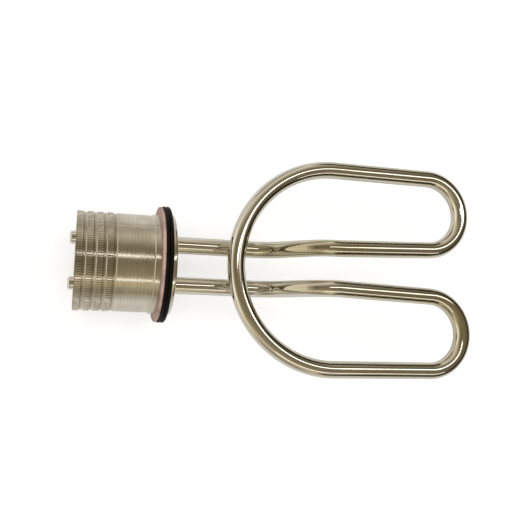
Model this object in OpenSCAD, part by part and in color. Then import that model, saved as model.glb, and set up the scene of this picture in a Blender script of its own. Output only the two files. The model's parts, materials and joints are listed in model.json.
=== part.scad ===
// Heating element for a small steam steriliser: a bent tubular heater on a
// screwed head with two contact pins inside a knurled nut.
// The head axis is X and the tube runs towards +X. The origin lies on that
// axis, in the face of the flange that the rubber gasket seals on. +Y is the
// back tube leg, and +Z is the side that the coil is joggled to.

/* [Heating tube] */
// Outer diameter of the tube
tube_d = 8; // [7:0.25:8.5]
// Wall of the tube
tube_wall = 0.8; // [0.5:0.1:1.2]
// Distance between the axes of the two legs
leg_spacing = 19; // [17:0.25:21]
// Straight run of a leg, from the sealing face to the joggle
leg_straight = 41; // [38:0.5:46]
// Slope of the joggle that lifts the coil off the legs. The sine and cosine of
// each choice are short decimals, which keeps the joints of the runs exact
joggle_angle = 41.2194; // [32.5196, 36.8699, 41.2194]
// Straight part of the slope
joggle_slope = 14.8; // [13:0.1:20]
// Bend radius of the joggle
joggle_bend_r = 20; // [14:1:24]
// Angle by which the legs spread after the joggle, picked the same way
leg_splay = 2.20435; // [1.62062, 2.20435, 2.80719]
// Bend radius of the spread
splay_bend_r = 30; // [20:1:40]
// Straight run of a leg, from the spread to the hairpin
leg_run = 46; // [42:0.5:52]
// Bend radius of the hairpins
hairpin_r = 17.8; // [15:0.1:20]
// Straight run of an arm, from the hairpin to the big loop
arm_run = 49; // [46:0.5:52]

/* [Inside the tube] */
// Outer diameter of the wound resistance coil
coil_d = 3.4; // [2.8:0.1:4]
// Diameter of the cold pins
cold_pin_d = 2.5; // [2:0.1:2.7]
// Depth of the cold pins past the sealing face
cold_depth = 18; // [12:1:28]
// Length of the end seals
seal_length = 4; // [3:0.5:5]
// Play between the filling and what it is pressed against
filling_play = 0.01; // [0.005:0.005:0.03]

/* [Head] */
// How far the flange's rim stands out past the nut's collar
flange_step = 0.3; // [0.1:0.1:1]
// Thickness of the flange
flange_t = 2.2; // [1.6:0.1:3]
// Rounding of the flange's rim
flange_round = 0.8; // [0.3:0.1:1]
// Outer diameter of the threaded spigot
spigot_d = 38; // [37:0.1:38.6]
// Length of the spigot
spigot_length = 22; // [20.5:0.1:23.5]
// Bore of the spigot
spigot_bore = 31; // [30:0.1:33]
// Depth of the head's floor behind the sealing face
floor_depth = 2; // [1:0.1:3]
// Length of the tube ends that stand out of the floor
tube_tail = 4; // [3:0.1:5]
// Play of the tubes in the floor, filled by the braze
braze_play = 0.05; // [0.02:0.01:0.1]
// Chamfer at the mouth of the spigot
spigot_chamfer = 0.6; // [0.3:0.1:0.8]

/* [Seals] */
// Outer diameter of the rubber gasket
gasket_d = 54; // [50:0.2:58]
// Thickness of the rubber gasket
gasket_t = 3.4; // [3:0.1:4]
// Depth of the groove around the gasket's rim
gasket_groove = 0.6; // [0.3:0.1:0.9]
// How far the washer's rim stays inside the gasket's rim
washer_step = 0.3; // [0:0.1:1]
// Thickness of the fibre washer
washer_t = 1.3; // [1.2:0.1:2.2]
// Rounding of the washer's outer edges
washer_round = 0.5; // [0.2:0.1:0.6]
// Play of both rings around the spigot
ring_play = 0.2; // [0.1:0.05:0.4]

/* [Shroud nut] */
// Length of the nut
nut_length = 36.5; // [34:0.5:40]
// Wall of the nut over its thread, up to the plain barrel
nut_wall = 3.3; // [2.8:0.1:3.6]
// Height of the knurl's teeth over the barrel
knurl_height = 0.15; // [0.1:0.05:0.3]
// Depth of the flutes between the teeth under the barrel
knurl_depth = 0.2; // [0.1:0.05:0.25]
// Number of knurl teeth
knurl_teeth = 130; // [100:2:160]
// Number of knurled bands
band_count = 4; // [3:1:5]
// Width of one band
band_width = 2.75; // [2.4:0.05:3]
// Width of the groove after each band
groove_width = 1.6; // [1.2:0.1:1.8]
// Depth of those grooves under the barrel
groove_depth = 0.35; // [0.3:0.05:0.5]
// Width of the slope from a groove's floor up to the next band
groove_slope = 0.5; // [0.4:0.05:0.7]
// Bevel at the open end
rim_bevel = 0.2; // [0.1:0.1:0.5]
// Height of the collar over the barrel
collar_height = 0.5; // [0.3:0.1:0.8]
// Width of the collar
collar_width = 2.5; // [1.5:0.1:3]
// Radius of the hollow in front of the collar
collar_fillet = 0.9; // [0.5:0.1:1.4]
// Length of the threaded part of the bore
thread_length = 18.5; // [17.4:0.1:19.5]
// Play of the thread
thread_play = 0.1; // [0.05:0.05:0.2]
// Wall of the nut around the contact pins
shroud_wall = 2.1; // [1.8:0.1:2.4]

/* [Terminals] */
// Distance between the axes of the contact pins
pin_spacing = 20.8; // [20.4:0.1:21.2]
// Diameter of a contact pin
pin_d = 6; // [5.5:0.1:6.2]
// Reach of the pins past the open end of the nut
pin_reach = 2.6; // [1:0.1:4]
// Rounding of the pin's tip
pin_round = 1.3; // [0.8:0.1:1.3]
// Diameter of the pin's collar
pin_collar_d = 9; // [8.5:0.1:10]
// Thickness of the pin's collar
pin_collar_t = 1.5; // [1:0.1:1.6]
// Diameter of the pin's threaded shank
shank_d = 5; // [4.5:0.1:5]
// Thickness of the insulating plate
plate_t = 4; // [3.6:0.1:4.4]
// Width of the step that the plate seats on
plate_seat = 1.5; // [1:0.1:1.6]
// Play of the plate in its seat
plate_play = 0.1; // [0.05:0.05:0.2]
// Play of the shank in the plate
shank_play = 0.05; // [0.03:0.01:0.1]
// Thickness of the retaining ring
clip_t = 1; // [0.8:0.1:1.1]
// Depth of the groove that holds the ring
clip_groove = 0.7; // [0.5:0.1:0.8]
// Width of the ring, across its wire
clip_width = 1.9; // [1.6:0.1:2.1]
// Opening of the ring, in degrees
clip_gap = 40; // [30:5:60]
// Width of the small nuts, across their flats
hex_flats = 8; // [8:0.1:8.4]
// Thickness of the small nuts
hex_t = 2.7; // [2.2:0.1:2.8]
// Outer diameter of the lock washers
lock_washer_d = 9; // [8.6:0.1:9.2]
// Thickness of the lock washers
lock_washer_t = 0.8; // [0.6:0.1:0.9]
// Thickness of the tag that the cold pin is welded to
tag_t = 1; // [0.8:0.1:1.2]
// Width of the tag
tag_width = 3.4; // [2.8:0.1:3.6]
// Gap between the tag's end and the end of the tube
tag_gap = 1; // [0.8:0.1:1.4]
// Gap between the end of the cold pin and the small nut
cold_pin_gap = 0.4; // [0.3:0.1:0.6]

/* [Hidden] */
$fn = 96;
// How far a cutting body runs past what it cuts
cut = 1;
tube_r = tube_d / 2;
bore_r = tube_r - tube_wall;
spigot_r = spigot_d / 2;
tube_end_x = -(floor_depth + tube_tail);
spigot_end_x = -spigot_length;

// The seals and the nut follow one another along the spigot
gasket_x = -gasket_t;
washer_x = gasket_x - washer_t;
nut_end_x = washer_x - nut_length;
pin_tip_x = nut_end_x - pin_reach;

// Their rims follow one another as well
gasket_r = gasket_d / 2;
washer_r = gasket_r - washer_step;
barrel_r = spigot_r + thread_play + nut_wall;
collar_r = barrel_r + collar_height;
flange_r = collar_r + flange_step;

// The plate seats in the mouth of the spigot, behind its ring
clip_lip = 0.8;
clip_x = spigot_end_x + clip_lip;
plate_x = clip_x + clip_t;
plate_back_x = plate_x + plate_t;
plate_seat_r = spigot_bore / 2 + plate_seat;
lock_washer_x = plate_back_x;
hex_x = lock_washer_x + lock_washer_t;
hex_back_x = hex_x + hex_t;
tag_end_x = tube_end_x - tag_gap;
cold_pin_x = hex_back_x + cold_pin_gap;
tag_inner_y = leg_spacing / 2 + cold_pin_d / 2;

// The tube as a list of runs: [length] is straight, and [radius, angle,
// roll] is a bend to the left, rolled about the run to go up or down
UP = 90;
DOWN = 270;
LEFT = 0;
hairpin_angle = 180 - leg_splay;
// The arms lie as far out as the spread and the hairpin carry them
loop_r = leg_spacing / 2
    + splay_bend_r * (1 - cos(leg_splay))
    + leg_run * sin(leg_splay)
    + hairpin_r * (1 + cos(leg_splay));
function run_back(runs) = [for (i = [len(runs) - 1 : -1 : 0]) runs[i]];
function half_runs(start_x) = [
    [leg_straight - start_x],
    [joggle_bend_r, joggle_angle, UP],
    [joggle_slope],
    [joggle_bend_r, joggle_angle, DOWN],
    [splay_bend_r, leg_splay, LEFT],
    [leg_run],
    [hairpin_r, hairpin_angle, LEFT],
    [arm_run],
    [loop_r, 90, LEFT]
];
function tube_runs(start_x) = concat(half_runs(start_x), run_back(half_runs(start_x)));

// A ring or disc in the XY plane
module section(outer_r, inner_r = 0) {
    difference() {
        circle(r = outer_r);
        if (inner_r > 0) circle(r = inner_r);
    }
}

// A cylinder or ring along X, from one station to another
module bar_x(from_x, to_x, outer_r, inner_r = 0) {
    translate([from_x, 0, 0]) rotate([0, 90, 0])
        linear_extrude(to_x - from_x) section(outer_r, inner_r);
}

// A turned body along X, from an outline of [x, radius] points
module turned_x(outline) {
    rotate([0, 90, 0]) rotate_extrude() polygon([for (p = outline) [p[1], p[0]]]);
}

// The frame at the end of a bend that starts at the origin along X
module past_bend(radius, angle) {
    translate([0, radius, 0]) rotate([0, 0, angle]) translate([0, -radius, 0]) children();
}

// One bend to the left, cut from a whole torus so that its end face lies
// exactly where the next run starts
module bend(radius, angle, outer_r, inner_r) {
    reach = radius + outer_r + cut;
    half = outer_r + cut;
    intersection() {
        translate([0, radius, 0]) rotate_extrude() translate([radius, 0]) section(outer_r, inner_r);
        translate([0, radius - reach, -half]) cube([reach, 2 * reach, 2 * half]);
        past_bend(radius, angle)
            translate([-reach, radius - reach, -half]) cube([reach, 2 * reach, 2 * half]);
    }
}

// Runs of a tube or rod, each in the frame where the last one ended
module follow(runs, outer_r, inner_r = 0, i = 0) {
    if (i < len(runs)) {
        run = runs[i];
        if (len(run) == 1) {
            bar_x(0, run[0], outer_r, inner_r);
            translate([run[0], 0, 0]) follow(runs, outer_r, inner_r, i + 1);
        } else {
            rotate([run[2], 0, 0]) {
                bend(run[0], run[1], outer_r, inner_r);
                past_bend(run[0], run[1]) rotate([-run[2], 0, 0])
                    follow(runs, outer_r, inner_r, i + 1);
            }
        }
    }
}

// The whole bent path, starting at a station of the back leg
module bent(start_x, outer_r, inner_r = 0) {
    translate([start_x, leg_spacing / 2, 0]) follow(tube_runs(start_x), outer_r, inner_r);
}

module sheath_tube() {
    color("#b8b09a") bent(tube_end_x, tube_r, bore_r);
}

module resistance_coil_body() {
    bent(cold_depth, coil_d / 2);
}

module resistance_coil() {
    color("#8a8378") resistance_coil_body();
}

module magnesia_filling() {
    color("#f2f0e6") difference() {
        bent(tube_end_x + seal_length, bore_r - filling_play);
        resistance_coil_body();
        for (side = [-1, 1])
            translate([0, side * leg_spacing / 2, 0])
                bar_x(tube_end_x + seal_length - cut, cold_depth, cold_pin_d / 2 + filling_play);
    }
}

module cold_pin(side) {
    color("#9c9c98") translate([0, side * leg_spacing / 2, 0])
        bar_x(cold_pin_x, cold_depth, cold_pin_d / 2);
}

module end_seal(side) {
    color("#d9d2c0") translate([0, side * leg_spacing / 2, 0])
        bar_x(tube_end_x, tube_end_x + seal_length, bore_r - filling_play, cold_pin_d / 2 + filling_play);
}

// Flange, floor and spigot, turned in one piece, with two holes for the tube
module head() {
    clip_r = plate_seat_r + clip_groove;
    color("#b9ad8f") difference() {
        union() {
            bar_x(0, flange_t - flange_round, flange_r);
            bar_x(flange_t - flange_round, flange_t, flange_r - flange_round);
            intersection() {
                bar_x(flange_t - flange_round, flange_t, flange_r);
                translate([flange_t - flange_round, 0, 0]) rotate([0, 90, 0])
                    rotate_extrude() translate([flange_r - flange_round, 0]) circle(r = flange_round);
            }
            bar_x(spigot_end_x + spigot_chamfer, 0, spigot_r);
            turned_x([
                [spigot_end_x, 0],
                [spigot_end_x, spigot_r - spigot_chamfer],
                [spigot_end_x + spigot_chamfer, spigot_r],
                [spigot_end_x + spigot_chamfer, 0]
            ]);
        }
        bar_x(spigot_end_x - cut, -floor_depth, spigot_bore / 2);
        bar_x(spigot_end_x - cut, plate_back_x, plate_seat_r);
        bar_x(clip_x, clip_x + clip_t, clip_r);
        for (side = [-1, 1])
            translate([0, side * leg_spacing / 2, 0])
                bar_x(-floor_depth - cut, flange_t + cut, tube_r + braze_play);
    }
}

// Moulded ring with two lips and a groove between them around its rim
module rubber_gasket() {
    inner_r = spigot_r + ring_play;
    lip = gasket_t / 4;
    color("#1d1c1b") turned_x([
        [0, inner_r],
        [0, gasket_r - gasket_groove / 2],
        [-lip / 2, gasket_r],
        [-lip, gasket_r],
        [-gasket_t / 2, gasket_r - gasket_groove],
        [-gasket_t + lip, gasket_r],
        [-gasket_t + lip / 2, gasket_r],
        [-gasket_t, gasket_r - gasket_groove / 2],
        [-gasket_t, inner_r]
    ]);
}

module fibre_washer() {
    inner_r = spigot_r + ring_play;
    color("#c39a92") turned_x([
        [gasket_x, inner_r],
        [gasket_x, washer_r - washer_round],
        [gasket_x - washer_round, washer_r],
        [washer_x + washer_round, washer_r],
        [washer_x, washer_r - washer_round],
        [washer_x, inner_r]
    ]);
}

// Teeth of one knurled band, as a ring of straight flutes
function knurl_outline(tip_r, root_r) = [
    for (i = [0 : 2 * knurl_teeth - 1])
        let (angle = 180 * i / knurl_teeth, r = i % 2 == 0 ? tip_r : root_r)
            [r * cos(angle), r * sin(angle)]
];

module knurled_band(from_x, tip_r, root_r) {
    translate([from_x, 0, 0]) rotate([0, 90, 0])
        linear_extrude(band_width) polygon(knurl_outline(tip_r, root_r));
}

// Nut that clamps the vessel wall, and shroud around the contact pins
module shroud_nut() {
    tip_r = barrel_r + knurl_height;
    flute_r = barrel_r - knurl_depth;
    groove_r = barrel_r - groove_depth;
    pitch = band_width + groove_width;
    bands_x = nut_end_x + rim_bevel;
    barrel_x = bands_x + band_count * pitch;
    collar_x = washer_x - collar_width;
    color("#b5a98f") difference() {
        union() {
            turned_x([
                [nut_end_x, 0], [nut_end_x, barrel_r - rim_bevel],
                [bands_x, barrel_r], [bands_x, 0]
            ]);
            for (i = [0 : band_count - 1]) {
                band_x = bands_x + i * pitch;
                knurled_band(band_x, tip_r, flute_r);
                turned_x([
                    [band_x + band_width, 0],
                    [band_x + band_width, groove_r],
                    [band_x + pitch - groove_slope, groove_r],
                    [band_x + pitch, barrel_r],
                    [band_x + pitch, 0]
                ]);
            }
            bar_x(barrel_x, washer_x, barrel_r);
            difference() {
                bar_x(collar_x - collar_fillet, washer_x, collar_r);
                translate([collar_x - collar_fillet, 0, 0]) rotate([0, 90, 0])
                    rotate_extrude() translate([barrel_r + collar_fillet, 0]) circle(r = collar_fillet);
            }
        }
        bar_x(washer_x - thread_length, washer_x + cut, spigot_r + thread_play);
        bar_x(nut_end_x - cut, washer_x - thread_length, barrel_r - shroud_wall);
    }
}

module insulating_plate() {
    color("#ece6d8") difference() {
        bar_x(plate_x, plate_back_x, plate_seat_r - plate_play);
        for (side = [-1, 1])
            translate([0, side * pin_spacing / 2, 0])
                bar_x(plate_x - cut, plate_back_x + cut, shank_d / 2 + shank_play);
    }
}

// Snap ring in its groove in the mouth of the spigot
module retaining_ring() {
    outer_r = plate_seat_r + clip_groove - plate_play / 2;
    inner_r = outer_r - clip_width;
    color("#6f7275") translate([clip_x, 0, 0]) rotate([clip_gap / 2, 0, 0]) rotate([0, 90, 0])
        rotate_extrude(angle = 360 - clip_gap) translate([inner_r, 0]) square([clip_width, clip_t]);
}

// Pin, collar, threaded shank and flat tag, turned and milled from one bar
module contact_pin(side) {
    pin_r = pin_d / 2;
    color("#d9d9d6") translate([0, side * pin_spacing / 2, 0]) {
        bar_x(pin_tip_x + pin_round, plate_x - pin_collar_t, pin_r);
        bar_x(pin_tip_x, pin_tip_x + pin_round, pin_r - pin_round);
        intersection() {
            bar_x(pin_tip_x, pin_tip_x + pin_round, pin_r);
            translate([pin_tip_x + pin_round, 0, 0]) rotate([0, 90, 0])
                rotate_extrude() translate([pin_r - pin_round, 0]) circle(r = pin_round);
        }
        bar_x(plate_x - pin_collar_t, plate_x, pin_collar_d / 2);
        bar_x(plate_x, hex_back_x, shank_d / 2);
    }
    color("#d9d9d6")
        translate([hex_back_x, side > 0 ? tag_inner_y : -tag_inner_y - tag_t, -tag_width / 2])
            cube([tag_end_x - hex_back_x, tag_t, tag_width]);
}

module lock_washers() {
    color("#8f9396") for (side = [-1, 1])
        translate([0, side * pin_spacing / 2, 0])
            bar_x(lock_washer_x, hex_x, lock_washer_d / 2, shank_d / 2 + shank_play);
}

module hex_nuts() {
    color("#c7b26a") for (side = [-1, 1])
        translate([hex_x, side * pin_spacing / 2, 0]) rotate([0, 90, 0])
            linear_extrude(hex_t) difference() {
                circle(r = hex_flats / 2 / cos(30), $fn = 6);
                circle(r = shank_d / 2 + shank_play);
            }
}

sheath_tube();
magnesia_filling();
resistance_coil();
cold_pin(1);  // cold_pin_back
cold_pin(-1);  // cold_pin_front
end_seal(1);  // end_seal_back
end_seal(-1);  // end_seal_front
head();
rubber_gasket();
fibre_washer();
shroud_nut();
insulating_plate();
retaining_ring();
contact_pin(1);  // contact_pin_back
contact_pin(-1);  // contact_pin_front
lock_washers();
hex_nuts();
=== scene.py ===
"""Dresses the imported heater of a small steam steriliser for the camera.

The visible pieces are modelled again from the sizes of the part's source: the
bent tube, the screwed head, the seals, the knurled nut and the terminals. What
lies inside the tube and behind the insulating plate keeps its solids and gets
a finish. Lengths are in millimetres until a mesh is made, which is in metres.
"""

import json
import logging
import math
from dataclasses import dataclass
from enum import Enum
from functools import partial
from typing import Any, Callable, NamedTuple, Sequence

import bmesh
import bpy
from mathutils import Matrix, Vector
from mathutils.kdtree import KDTree

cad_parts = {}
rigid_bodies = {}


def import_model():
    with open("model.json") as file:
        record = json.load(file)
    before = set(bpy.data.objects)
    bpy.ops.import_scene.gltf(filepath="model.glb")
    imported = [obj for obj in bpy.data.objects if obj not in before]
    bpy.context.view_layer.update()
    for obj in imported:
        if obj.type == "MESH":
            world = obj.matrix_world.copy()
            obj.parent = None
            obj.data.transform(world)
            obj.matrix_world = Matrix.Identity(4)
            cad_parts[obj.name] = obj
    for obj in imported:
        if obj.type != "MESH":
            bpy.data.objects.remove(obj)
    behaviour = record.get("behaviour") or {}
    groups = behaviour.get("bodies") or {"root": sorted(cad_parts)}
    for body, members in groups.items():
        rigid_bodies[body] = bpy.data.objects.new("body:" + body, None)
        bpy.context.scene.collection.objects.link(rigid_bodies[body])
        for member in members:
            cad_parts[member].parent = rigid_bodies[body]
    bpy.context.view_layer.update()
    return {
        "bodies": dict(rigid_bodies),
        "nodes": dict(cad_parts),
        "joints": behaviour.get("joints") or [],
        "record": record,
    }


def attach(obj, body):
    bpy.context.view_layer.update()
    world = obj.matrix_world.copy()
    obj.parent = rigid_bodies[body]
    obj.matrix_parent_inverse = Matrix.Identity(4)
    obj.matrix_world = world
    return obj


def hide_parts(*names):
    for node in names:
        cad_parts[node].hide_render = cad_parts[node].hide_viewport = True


LOG = logging.getLogger("steriliser_heater")
MM = 0.001
ROOT = "root"
# How near each other the points of an outline and of a turned piece are merged,
# and how near a size a point's own counts as that size
SAME_MM = 0.001
SAME_SPUN_MM = 0.002
NEAR_MM = 0.01

WHITE = "#FFFFFF"
BLACK = "#000000"
MULTIPLY = {"data_type": "RGBA", "blend_type": "MULTIPLY"}
ADD = {"data_type": "RGBA", "blend_type": "ADD"}

Object = bpy.types.Object
Material = bpy.types.Material
Tree = bpy.types.NodeTree
Node = bpy.types.Node
Pair = tuple[float, float]
Triple = tuple[float, float, float]
Outline = list[Pair]
Stops = tuple[tuple[float, str], ...]
Input = tuple[Node, str | int]
Adder = Callable[..., Node]


class Side(Enum):
    """The two legs, each with the sign of its place along Y."""

    BACK = 1
    FRONT = -1

    @property
    def label(self) -> str:
        """The word that the names of its pieces end in."""
        return self.name.lower()

    def y(self, spacing: float) -> float:
        """The place along Y of one of two things that are this far apart."""
        return self.value * spacing / 2


class Turn(Enum):
    """Which way a bend goes, as a roll about the run in degrees."""

    LEFT = 0.0
    UP = 90.0
    DOWN = 270.0


Run = tuple[float] | tuple[float, float, Turn]


# Nodes and colours ----------------------------------------------------------


def linear(hex_colour: str) -> tuple[float, float, float, float]:
    """Turns an sRGB hex colour into the linear colour that a shader takes.

    Args:
        hex_colour: Six hex digits after a hash sign.

    Returns:
        Red, green, blue and an alpha of 1.
    """
    parts = [int(hex_colour[i : i + 2], 16) / 255 for i in (1, 3, 5)]
    rgb = [c / 12.92 if c <= 0.04045 else ((c + 0.055) / 1.055) ** 2.4 for c in parts]
    return rgb[0], rgb[1], rgb[2], 1.0


def add_node(
    tree: Tree,
    kind: str,
    settings: dict[str, Any] | None = None,
    values: dict[Any, Any] | None = None,
    links: dict[Any, Input] | None = None,
) -> Node:
    """Adds one node with its settings, socket values and incoming links.

    Args:
        tree: The node tree that gets the node.
        kind: The node's type name, without the ShaderNode before it.
        settings: Properties of the node itself.
        values: Socket name or number to the value it holds.
        links: Socket name or number to the node and output that feed it.

    Returns:
        The new node.
    """
    node = tree.nodes.new("ShaderNode" + kind)
    for name, value in (settings or {}).items():
        setattr(node, name, value)
    for name, value in (values or {}).items():
        node.inputs[name].default_value = value
    for name, (source, output) in (links or {}).items():
        tree.links.new(source.outputs[output], node.inputs[name])
    return node


def empty_tree(owner: bpy.types.ID) -> Adder:
    """Clears the nodes of a material or a world.

    Args:
        owner: The material or the world.

    Returns:
        What adds a node there.
    """
    owner.use_nodes = True
    owner.node_tree.nodes.clear()
    return partial(add_node, owner.node_tree)


def set_ramp(node: Node, stops: Sequence[tuple[float, str]]) -> None:
    """Puts its stops on a colour ramp.

    Args:
        node: The colour ramp.
        stops: For each stop, its place from 0 to 1 and its sRGB hex colour.
    """
    elements = node.color_ramp.elements
    while len(elements) < len(stops):
        elements.new(0.5)
    for element, (place, colour) in zip(elements, stops):
        element.position = place
        element.color = linear(colour)


class Look(NamedTuple):
    """What a finish draws: the shader's own values, its links and a pattern."""

    values: dict[str, float]
    links: dict[str, Input]
    pattern: Input


@dataclass(frozen=True)
class Finish:
    """What every finish has: a name, a colour, and a pattern that wears it.

    The pattern changes the roughness, which its lowest and highest multiply by
    the two shares of gloss, and it shows as relief of a strength and a depth.
    """

    name: str = "plain"
    base: str = "#808080"
    roughness: float = 0.5
    gloss: Pair = (0.8, 1.3)
    relief: float = 0.3
    relief_mm: float = 0.004

    def draw(self, add: Adder) -> Look:
        """Draws the finish's own colour and pattern.

        Args:
            add: Adds a node to the material.

        Returns:
            What it drew.
        """
        raise NotImplementedError

    def make(self) -> Material:
        """Makes the material.

        Returns:
            The material, with its pattern in its roughness and relief too.
        """
        material = bpy.data.materials.new(self.name)
        add = empty_tree(material)
        look = self.draw(add)
        low, high = (self.roughness * share for share in self.gloss)
        rough = add(
            "MapRange",
            values={"To Min": low, "To Max": high},
            links={"Value": look.pattern},
        )
        bump = add(
            "Bump",
            values={"Strength": self.relief, "Distance": self.relief_mm * MM},
            links={"Height": look.pattern},
        )
        worn = {"Roughness": (rough, "Result"), "Normal": (bump, "Normal")}
        shader = add("BsdfPrincipled", values=look.values, links=look.links | worn)
        add("OutputMaterial", links={"Surface": (shader, "BSDF")})
        return material


@dataclass(frozen=True)
class StreakedNickel(Finish):
    """Nickel plate with fine streaks over soft patches of a second colour.

    Streaks and patches each have a size along X and across it, and the detail
    and roughness of their noise. The values that end in "at" say where in that
    noise a colour is full, and where a streak is full and where it ends.
    """

    second: str = "#B0B0B0"
    base_at: float = 0.35
    second_at: float = 0.65
    streak: str = "#A0A0A0"
    streak_at: Pair = (0.3, 0.5)
    streak_share: float = 0.5
    streak_mm: Pair = (10.0, 0.5)
    streak_noise: Pair = (3.0, 0.6)
    patch_mm: Pair = (10.0, 10.0)
    patch_noise: Pair = (3.0, 0.5)

    def place(self, add: Adder) -> Input:
        """Adds the node that gives the patterns their place."""
        return add("TexCoord"), "Object"

    def draw(self, add: Adder) -> Look:
        """Draws the streaks over the patches.

        Args:
            add: Adds a node to the material.

        Returns:
            What it drew.
        """
        place = self.place(add)
        noises = []
        for (along_mm, across_mm), (detail, roughness) in (
            (self.streak_mm, self.streak_noise),
            (self.patch_mm, self.patch_noise),
        ):
            across = 1 / (across_mm * MM)
            stretch = add(
                "Mapping",
                values={"Scale": (1 / (along_mm * MM), across, across)},
                links={"Vector": place},
            )
            noise = add(
                "TexNoise",
                values={"Scale": 1.0, "Detail": detail, "Roughness": roughness},
                links={"Vector": (stretch, "Vector")},
            )
            noises.append(noise)
        streaks, patches = noises
        tint = add("ValToRGB", links={"Fac": (patches, "Fac")})
        two = [(self.base_at, self.base), (self.second_at, self.second)]
        set_ramp(tint, sorted(two))
        faint = add("ValToRGB", links={"Fac": (streaks, "Fac")})
        full, gone = self.streak_at
        set_ramp(faint, [(full, self.streak), (gone, WHITE)])
        colour = add(
            "Mix",
            MULTIPLY,
            {"Factor": self.streak_share},
            {6: (tint, "Color"), 7: (faint, "Color")},
        )
        return Look({"Metallic": 1.0}, {"Base Color": (colour, 2)}, (streaks, "Fac"))


@dataclass(frozen=True)
class DrawnNickelTube(StreakedNickel):
    """Nickel-plated tube, drawn and then polished along its length.

    The die leaves faint lines along the tube, and heat leaves the plating
    slightly straw-coloured in long soft patches. Both follow the tube round
    its bends, so they are drawn on the place each point had while the tube
    was still straight. The eye sees sharp bands of light and dark that run the
    whole length of the tube. Real die lines are finer than these, which are
    drawn as coarse as it takes to show.
    """

    name: str = "nickel_plated_tube"
    base: str = "#E0DCD1"
    roughness: float = 0.06
    gloss: Pair = (0.7, 1.6)
    relief: float = 0.06
    relief_mm: float = 0.02
    second: str = "#CFC8B2"
    second_at: float = 0.68
    streak: str = "#A39A84"
    streak_at: Pair = (0.30, 0.46)
    streak_share: float = 0.35
    streak_mm: Pair = (60.0, 0.45)
    patch_mm: Pair = (56.0, 14.0)
    patch_noise: Pair = (2.0, 0.5)

    def place(self, add: Adder) -> Input:
        """Adds the node that gives each point's place before bending."""
        return add("Attribute", {"attribute_name": HeatingTube.ATTRIBUTE}), "Vector"


@dataclass(frozen=True)
class TurnedNickel(StreakedNickel):
    """Nickel plate over turned brass, with the lathe's rings left in it.

    The rings run round the axis, so a lamp's reflection is drawn out along the
    axis and stays narrow round it. Shade is painted into the flutes and the
    corners of the grooves as a darker colour. A fine cut leaves rings about half
    as wide as these, which are drawn as coarse as it takes to show.
    """

    name: str = "satin_nickel_on_turned_brass"
    base: str = "#E0DACC"
    roughness: float = 0.25
    gloss: Pair = (0.8, 1.25)
    relief: float = 0.35
    relief_mm: float = 0.012
    second: str = "#D0C8B6"
    base_at: float = 0.6
    second_at: float = 0.36
    streak: str = "#B9B3A6"
    streak_at: Pair = (0.3, 0.55)
    streak_mm: Pair = (0.22, 55.5556)
    streak_noise: Pair = (4.0, 0.65)
    patch_mm: Pair = (9.0, 9.0)
    # Painted shade: a darker colour laid into the flutes and the groove corners
    painted_shade: str = "#968770"
    anisotropy: float = 0.9
    quarter_turn: float = 0.25

    def draw(self, add: Adder) -> Look:
        """Draws painted shade over the rings, and turns the shine along the axis.

        Args:
            add: Adds a node to the material.

        Returns:
            What it drew.
        """
        clean = super().draw(add)
        # Where shade is painted: the flutes and the grooves, most in their corners
        hollow_shade = add("Attribute", {"attribute_name": ShroudNut.ATTRIBUTE})
        shaded_colour = add(
            "Mix",
            {"data_type": "RGBA"},
            {7: linear(self.painted_shade)},
            {0: (hollow_shade, "Fac"), 6: clean.links["Base Color"]},
        )
        round_axis = add("Tangent", {"direction_type": "RADIAL", "axis": "X"})
        shine = {
            "Anisotropic": self.anisotropy,
            "Anisotropic Rotation": self.quarter_turn,
        }
        links = {"Base Color": (shaded_colour, 2), "Tangent": (round_axis, "Tangent")}
        return Look(clean.values | shine, links, clean.pattern)


@dataclass(frozen=True)
class PlainMetal(Finish):
    """A metal with a fine even grain: drawn, rolled or tumbled.

    The grain breaks up the edge of a reflection, and it is drawn coarser than
    it is so that it shows at all.
    """

    roughness: float = 0.25
    grain_mm: float = 0.4
    grain_share: float = 0.2

    def draw(self, add: Adder) -> Look:
        """Draws the grain.

        Args:
            add: Adds a node to the material.

        Returns:
            What it drew.
        """
        place = add("TexCoord")
        grain = add(
            "TexNoise",
            values={"Scale": 1 / (self.grain_mm * MM), "Detail": 3.0},
            links={"Vector": (place, "Object")},
        )
        tint = add(
            "Mix",
            MULTIPLY,
            {"Factor": self.grain_share, 6: linear(self.base)},
            {7: (grain, "Color")},
        )
        return Look({"Metallic": 1.0}, {"Base Color": (tint, 2)}, (grain, "Fac"))


@dataclass(frozen=True)
class DullSolid(Finish):
    """A surface with no metal in it: moulded, pressed, cast or packed.

    Fine grit takes the shine away, and wide soft clouds keep the colour from
    looking painted on. The grit is drawn as coarse as it takes to show.
    """

    roughness: float = 0.6
    gloss: Pair = (0.9, 1.1)
    relief: float = 0.5
    relief_mm: float = 0.03
    second: str = "#707070"
    second_at: float = 0.58
    base_at: float = 0.86
    ior: float = 1.5
    specular: float = 0.5
    sheen: float = 0.0
    grain_mm: float = 0.5
    grain_share: float = 0.45
    cloud_mm: float = 6.0

    def draw(self, add: Adder) -> Look:
        """Draws the grit and the clouds in two shades.

        Args:
            add: Adds a node to the material.

        Returns:
            What it drew.
        """
        place = add("TexCoord")
        grain, clouds = (
            add(
                "TexNoise",
                values={"Scale": 1 / (size_mm * MM), "Detail": detail},
                links={"Vector": (place, "Object")},
            )
            for size_mm, detail in ((self.grain_mm, 5.0), (self.cloud_mm, 4.0))
        )
        both = add(
            "Math",
            {"operation": "MULTIPLY_ADD"},
            {1: self.grain_share},
            {0: (grain, "Fac"), 2: (clouds, "Fac")},
        )
        tint = add("ValToRGB", links={"Fac": (both, "Value")})
        set_ramp(tint, [(self.second_at, self.second), (self.base_at, self.base)])
        values = {
            "IOR": self.ior,
            "Specular IOR Level": self.specular,
            "Sheen Weight": self.sheen,
        }
        return Look(values, {"Base Color": (tint, "Color")}, (grain, "Fac"))


# Modelling ------------------------------------------------------------------


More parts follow.
